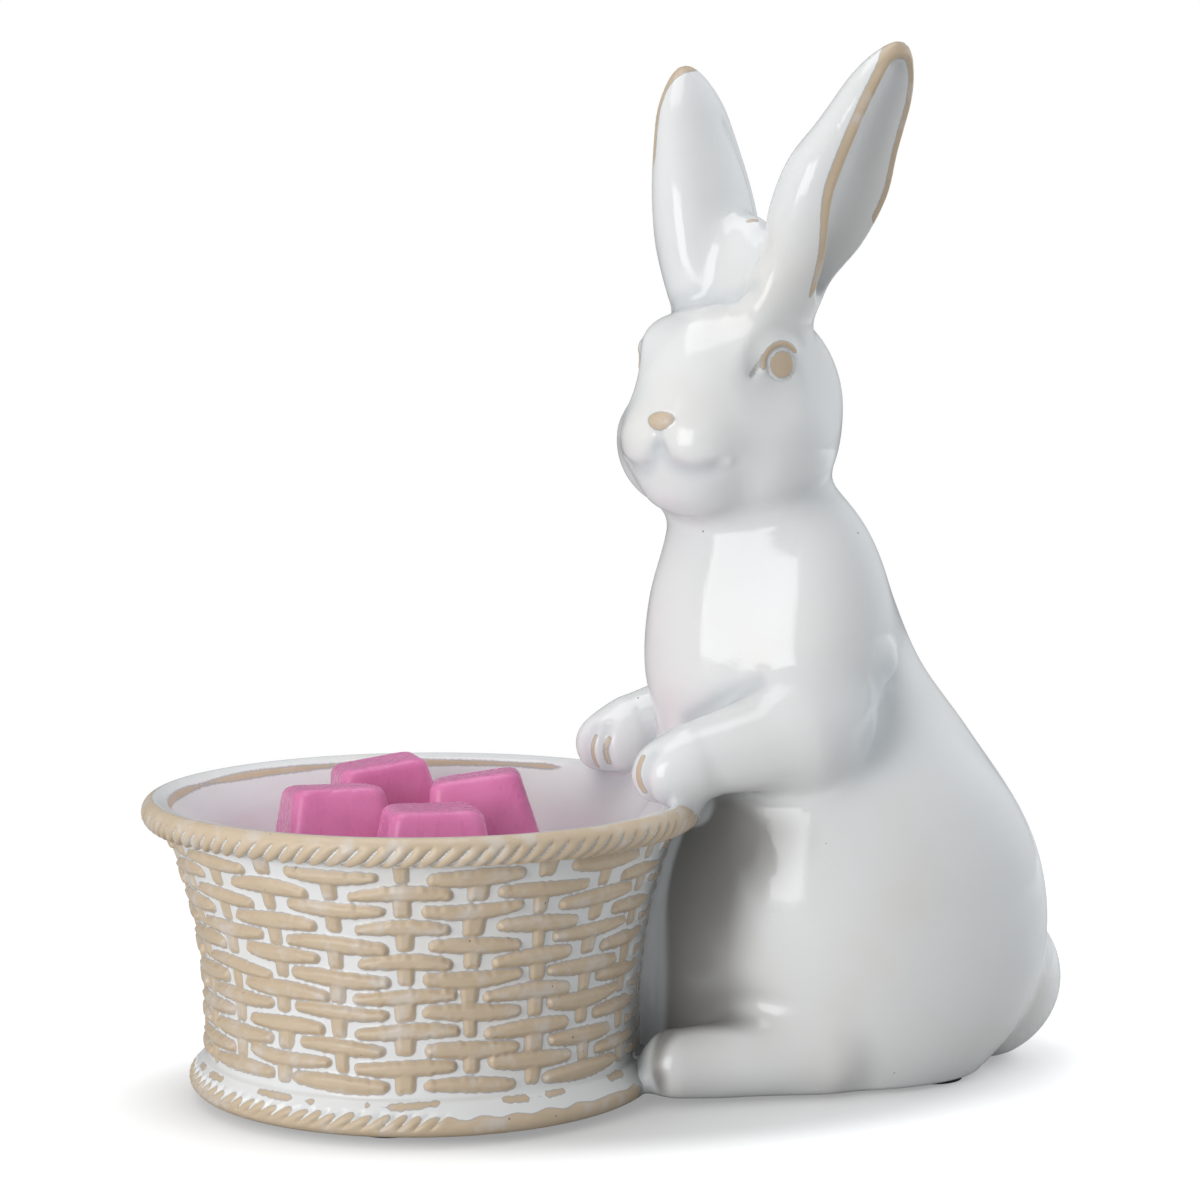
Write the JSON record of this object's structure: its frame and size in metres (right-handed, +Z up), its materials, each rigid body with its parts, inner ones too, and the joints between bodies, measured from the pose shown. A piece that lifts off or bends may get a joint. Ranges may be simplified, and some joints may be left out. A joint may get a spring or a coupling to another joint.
{
  "type": "wax melt warmer",
  "caption": "Electric wax melt warmer: a glazed stoneware rabbit holding a woven basket whose open top is the warm wax dish, with loose wax cubes",
  "frame": {"origin": "centre of the bounding box, on the table that the feet stand on", "axes": "+X from the basket towards the rabbit, +Y to the side that the cord leaves, +Z up"},
  "size_m": [0.206, 0.12, 0.2242],
  "materials": {
    "glazed_stoneware": "gloss",
    "wax": "satin",
    "base_board": "matte",
    "rubber": "matte",
    "zinc_screw": "satin",
    "brass": "satin",
    "aluminium_plate": "satin",
    "element_foil": "matte",
    "mica": "satin",
    "wool": "matte",
    "steel_pan": "satin",
    "steatite": "matte",
    "nylon": "matte",
    "wire_brown": "satin",
    "wire_blue": "satin"
  },
  "bodies": {
    "warmer": {"ceramic_body": "glazed_stoneware", "base_plate": "base_board", "basket_feet": "rubber", "rabbit_feet": "rubber", "base_screws": "zinc_screw", "brass_inserts": "brass", "heater_plate": "aluminium_plate", "heating_element": "element_foil", "mica_sheet": "mica", "insulating_pad": "wool", "heater_pan": "steel_pan", "pan_spacers": "steatite", "pan_screws": "zinc_screw", "pan_nuts": "zinc_screw", "element_terminals": "zinc_screw", "terminal_bushings": "steatite", "thermal_fuse": "aluminium_plate", "fuse_clip": "zinc_screw", "terminal_block": "nylon", "block_screws": "zinc_screw", "cord_grommet": "rubber", "live_lead": "wire_brown", "fuse_lead": "wire_brown", "neutral_lead": "wire_blue"},
    "wax_front": {"front_cube": "wax"},
    "wax_left": {"left_cube": "wax"},
    "wax_right": {"right_cube": "wax"},
    "wax_back": {"back_cube": "wax"}
  },
  "joints": [
    {"name": "front_cube_lift", "type": "slide", "parent": "warmer", "child": "wax_front", "axis": [0, 0, 1], "range_m": [0, 0.08]},
    {"name": "left_cube_lift", "type": "slide", "parent": "warmer", "child": "wax_left", "axis": [0, 0, 1], "range_m": [0, 0.08]},
    {"name": "right_cube_lift", "type": "slide", "parent": "warmer", "child": "wax_right", "axis": [0, 0, 1], "range_m": [0, 0.08]},
    {"name": "back_cube_lift", "type": "slide", "parent": "warmer", "child": "wax_back", "axis": [0, 0, 1], "range_m": [0, 0.08]}
  ]
}
